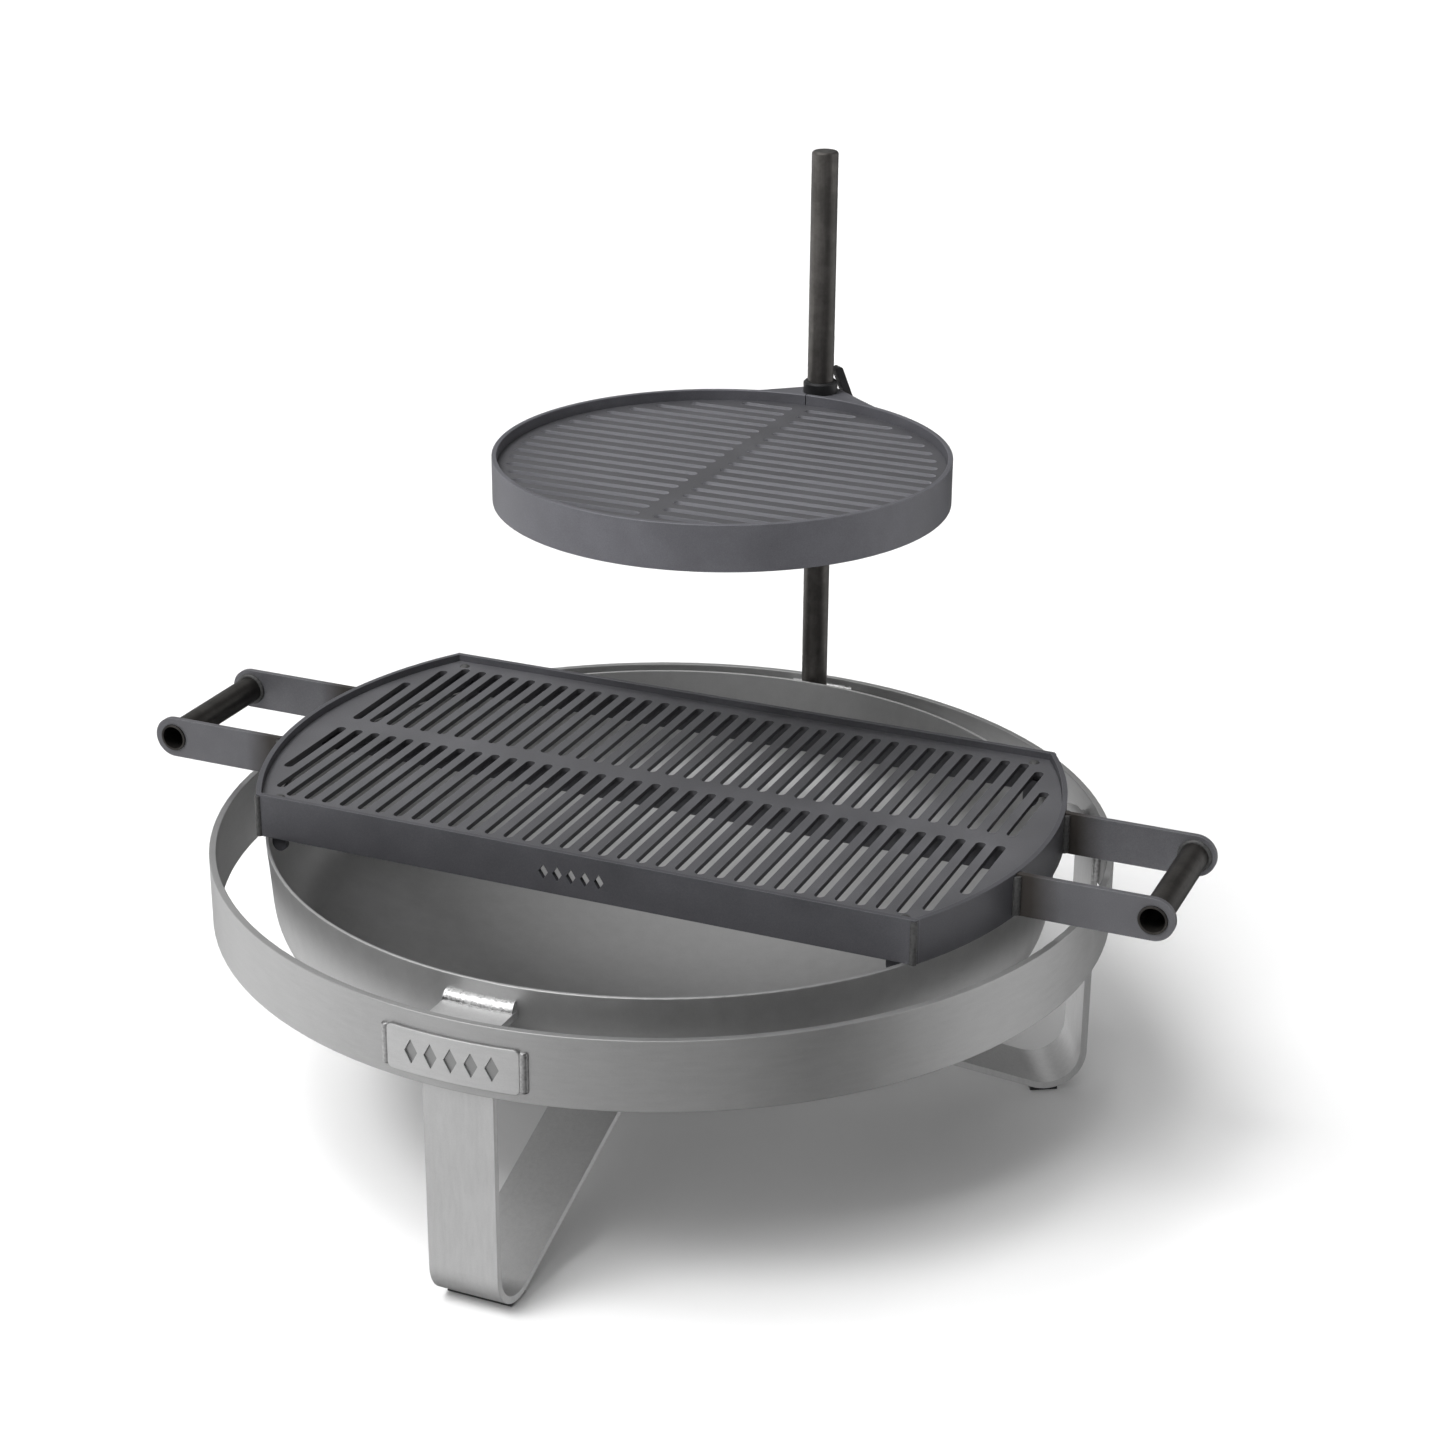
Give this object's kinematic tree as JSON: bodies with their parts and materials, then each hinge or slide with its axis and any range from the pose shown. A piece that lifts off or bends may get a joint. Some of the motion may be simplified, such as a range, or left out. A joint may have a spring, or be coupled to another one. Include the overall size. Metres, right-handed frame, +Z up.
{
  "type": "fire pit with grate",
  "caption": "Round steel wood fire pit on three bent legs with an outer ring, a slotted lift-off grill grate and a round swing grate on a post.",
  "frame": {"origin": "on the ground, under the centre of the bowl and ring", "axes": "+Z up; -Y is the front, with the name plate and one leg; +Y is the back, with the post; the grill grate's handles point along +X and -X"},
  "size_m": [0.982, 0.8201, 0.821],
  "materials": {
    "stainless": "satin",
    "grate_steel": "satin",
    "tube_steel": "dark mill scale, satin",
    "bright_weld": "rippled, bright",
    "black_steel": "satin"
  },
  "bodies": {
    "pit": {"bowl": "stainless", "outer_ring": "stainless", "leg_front": "stainless", "leg_right": "stainless", "leg_left": "stainless", "foot_pad_front": "black_steel", "foot_pad_right": "black_steel", "foot_pad_left": "black_steel", "bowl_tab_welds": "bright_weld", "ring_leg_welds": "bright_weld", "bowl_base_welds": "bright_weld", "name_plate": "stainless", "name_plate_welds": "bright_weld", "post_bracket": "stainless", "post_socket": "stainless", "socket_base": "stainless", "bracket_welds": "bright_weld"},
    "post": {"post_tube": "tube_steel", "post_cap": "tube_steel"},
    "bush": {"upper_bush": "black_steel", "lower_bush": "black_steel"},
    "swing_grate": {"swing_plate": "grate_steel", "swing_band": "grate_steel", "swing_gusset": "grate_steel", "hub_sleeve": "grate_steel", "clamp_boss": "grate_steel", "hub_welds": "grate_steel", "gusset_weld": "grate_steel"},
    "clamp_lever": {"clamp_screw": "black_steel", "clamp_lever": "black_steel"},
    "grill_grate": {"grate_plate": "grate_steel", "grate_wall_front": "grate_steel", "grate_wall_back": "grate_steel", "grate_end_left": "grate_steel", "grate_end_right": "grate_steel", "grate_rib": "grate_steel", "handle_arm_left_front": "grate_steel", "handle_arm_left_rear": "grate_steel", "handle_arm_right_front": "grate_steel", "handle_arm_right_rear": "grate_steel", "handle_tube_left": "tube_steel", "handle_tube_right": "tube_steel", "locating_lugs": "grate_steel", "grate_corner_welds": "grate_steel", "plate_tack_welds": "grate_steel", "arm_welds": "grate_steel", "handle_ring_welds": "grate_steel"}
  },
  "joints": [
    {"name": "post_lift", "type": "slide", "parent": "pit", "child": "post", "axis": [0, 0, 1], "range_m": [0, 0.09]},
    {"name": "grate_height", "type": "slide", "parent": "post", "child": "bush", "axis": [0, 0, 1], "range_m": [-0.12, 0.2]},
    {"name": "grate_swing", "type": "hinge", "parent": "bush", "child": "swing_grate", "pos_m": [0, 0.372, 0.5565], "axis": [0, 0, 1], "continuous": true},
    {"name": "clamp_turn", "type": "hinge", "parent": "swing_grate", "child": "clamp_lever", "pos_m": [0.02507, 0.40188, 0.5565], "axis": [-0.6428, -0.766, 0], "range_deg": [0, 90]},
    {"name": "grill_lift", "type": "slide", "parent": "pit", "child": "grill_grate", "axis": [0, 0, 1], "range_m": [0, 0.06]}
  ]
}
